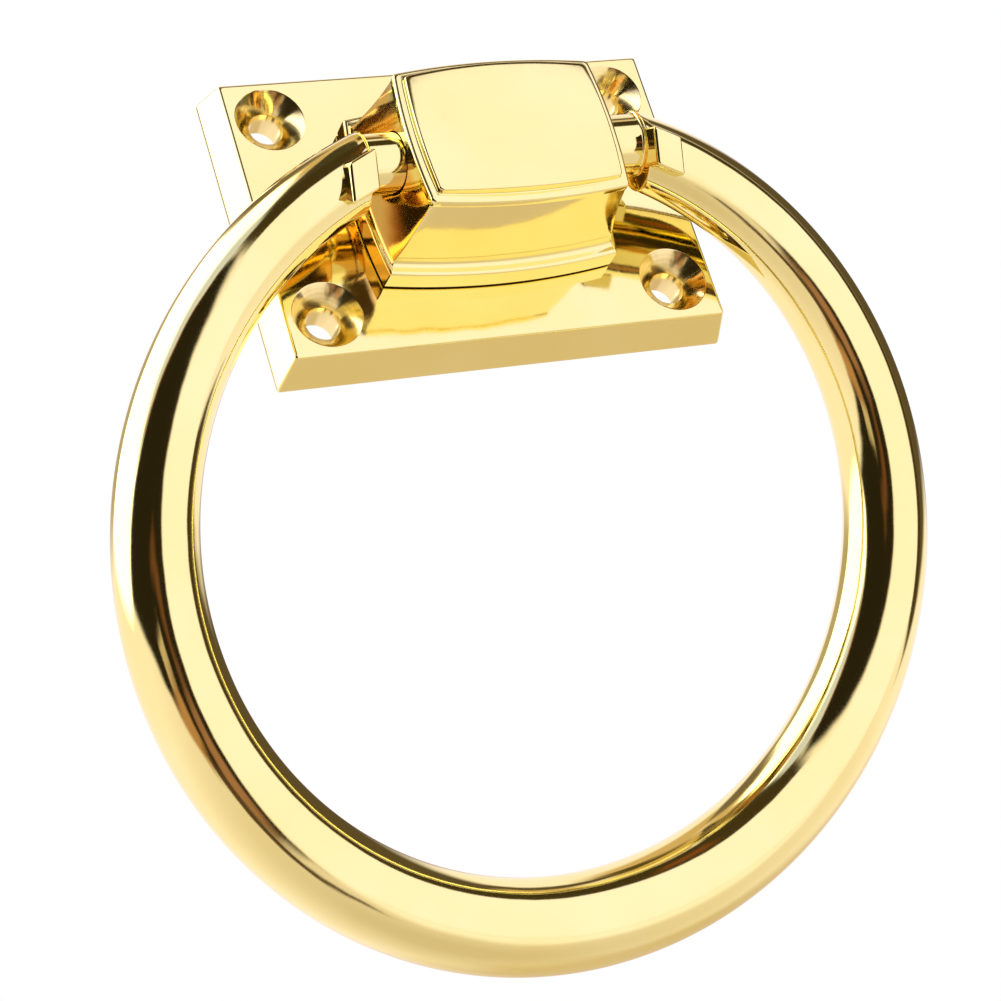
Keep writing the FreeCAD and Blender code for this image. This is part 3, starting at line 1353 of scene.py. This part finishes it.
STUDIO_PANELS = (
    Panel(  # pale wall to the left, behind the handle
        ((-180, 62), (-180, 26), (-138, 26), (-134, 52), (-160, 62)),
        (0.42, 0.34, 0.233), 5.0, 0.9,
    ),
    Panel(  # warm ceiling
        ((-180, 66), (180, 66), (180, 90), (-180, 90)), (0.68, 0.472, 0.276), 5.0,
    ),
    Panel(  # strip light, upper left
        ((-104, -2), (-140, 24), (-144, 48), (-165, 58), (-128, 70), (-104, 79), (-60, 79),
         (-40, 70), (-34, 58), (-26, 50), (-20, 46), (-38, 34), (-50, 28), (-60, 16),
         (-76, 5), (-92, -4)),
        (2.5, 2.457, 2.756), 3.0,
    ),
    Panel(  # grey end of the strip light
        ((-70, 10), (-58, 18), (-44, 28), (-30, 33), (-20, 44), (-24, 52), (-44, 49),
         (-58, 40), (-68, 26)),
        (0.7, 0.737, 1.166), 5.0,
    ),
    Panel(  # brown lower edge of the strip light
        ((-70, 12), (-58, 15), (-46, 20), (-36, 25), (-34, 32), (-46, 29), (-58, 22)),
        (0.4, 0.19, 0.07), 2.0,
    ),
    Panel(  # dark corner of the room, behind and above the strip light
        ((-182, 48), (-166, 60), (-130, 74), (-112, 84), (-182, 84)),
        (0.2, 0.151, 0.117), 4.0,
    ),
    Panel(  # dark beam right of the strip light
        ((-31, 54), (-29, 44), (-24, 40), (-2, 46), (2, 66), (-4, 86), (-26, 86)),
        (0.065, 0.051, 0.03), 3.5,
    ),
    Panel(  # the dark room behind the camera
        ((-91, -6), (-72, 6), (-56, 20), (-46, 27), (-32, 32), (-24, 26), (-18, 12),
         (-13, 0), (-8, -12), (-3, -26), (3, -40), (4, -50), (-4, -53), (-18, -57),
         (-40, -51), (-60, -38), (-78, -20)),
        (0.022, 0.016, 0.009), 2.5,
    ),
    Panel(  # pale board low in the dark room
        ((-52, -30), (-38, -30), (-36, -36), (-50, -37)), (0.6, 0.472, 0.371), 2.0,
    ),
    Panel(  # orange board below it
        ((-62, -38), (-40, -36), (-34, -44), (-50, -50)), (0.5, 0.255, 0.138), 3.0,
    ),
    Panel(  # dark red streak
        ((-38, -22), (-28, -20), (-18, -28), (-14, -40), (-20, -38), (-30, -26)),
        (0.16, 0.066, 0.032), 3.0,
    ),
    Panel(  # brown board beside them
        ((-24, -40), (-12, -38), (-4, -48), (-16, -56), (-30, -52)),
        (0.38, 0.189, 0.127), 4.0,
    ),
    Panel(  # black flag round the front panel
        ((-26, 42), (-20, 53), (0, 59), (25, 61), (45, 60), (56, 52), (70, 35), (80, 16),
         (86, 2), (94, -14), (88, -23), (77, -22), (73, 2), (66, 16), (56, 26), (45, 32),
         (32, 35), (18, 33), (6, 26), (-4, 18), (-14, 14), (-30, 34)),
        (0.055, 0.038, 0.015), 2.5,
    ),
    Panel(  # red-brown board on the flag
        ((1, 36), (8, 40), (16, 42), (16, 49), (2, 48)), (0.22, 0.07, 0.02), 4.0,
    ),
    Panel(  # brown edge of the flag
        ((56, 74), (76, 70), (92, 50), (120, 40), (150, 28), (150, 18), (120, 12),
         (106, 3), (98, -8), (90, -20), (84, 0), (78, 18), (72, 34), (62, 60)),
        (0.11, 0.08, 0.048), 4.0,
    ),
    Panel(  # gold card beside the flag
        ((50, 60), (60, 61), (76, 50), (66, 45)),
        (0.68, 0.463, 0.254), 3.0,
    ),
    Panel(  # olive rim of the ceiling
        ((16, 73), (40, 68), (90, 68), (92, 78), (50, 82), (24, 80)),
        (0.1, 0.071, 0.021), 5.0,
    ),
    Panel(  # front panel
        ((-14, 16), (-6, 24), (2, 28), (8, 32), (14, 35.5), (20, 38), (27, 39), (34, 37.5),
         (42, 35), (54, 29), (66, 17), (72, 2), (76, -22), (60, -36), (34, -46), (8, -48),
         (0, -30), (-6, -10)),
        (1.16, 1.077, 1.41), 1.6,
    ),
    Panel(  # pale foot of the front panel
        ((8, -46), (34, -44), (58, -36), (62, -48), (36, -60), (12, -58)),
        (1.12, 1.04, 1.272), 7.0,
    ),
    Panel(  # dark rail low in front
        ((-46, -46), (-36, -61), (-26, -67), (2, -66), (3, -62), (-18, -61), (-28, -50)),
        (0.1, 0.057, 0.032), 2.5,
    ),
    Panel(  # brown wall low at the right
        ((128, -8), (150, 2), (168, 2), (176, -30), (168, -58), (130, -62), (120, -38)),
        (0.72, 0.58, 0.49), 12.0,
    ),
)


def dress_block_screws(
    nodes: dict[str, bpy.types.Object], brass: bpy.types.Material
) -> None:
    """Gives the two slotted screws at the back their finish.

    Args:
        nodes: The CAD nodes by name.
        brass: Finish of the screws.
    """
    for name in ("block_screw_left", "block_screw_right"):
        screw = nodes[name]
        screw.data.materials.clear()
        screw.data.materials.append(brass)
        LOG.info("%s: dressed", name)


def main() -> None:
    """Builds the handle's pieces, then the studio."""
    logging.basicConfig(level=logging.INFO, format="%(message)s")
    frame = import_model()
    plate_brass = PolishedBrass("plate_polish").make()
    # The block's low flanks get the painted warm reflection tint.
    block_brass = PolishedBrass("block_polish_painted_reflection", painted_reflection_below=PAINTED_REFLECTION_TOP).make()
    ring_brass = PolishedBrass("ring_polish").make()
    sinks = TurnedBrass("sink_brass", BackPlate.hole_x, BackPlate.hole_z).make()
    screws = TurnedBrass("screw_turning", BackPlate.block_screw_x, 0.0).make()
    # Painted shade for the block's foot groove and its sockets.
    recess_shade = PaintedRecessShade("painted_recess_shade").make()
    BackPlate().build(plate_brass, sinks)
    PivotBlock().build(block_brass, recess_shade)
    PullRing().build(ring_brass)
    dress_block_screws(frame["nodes"], screws)
    Studio(STUDIO_PANELS).build()


if __name__ == "__main__":
    main()
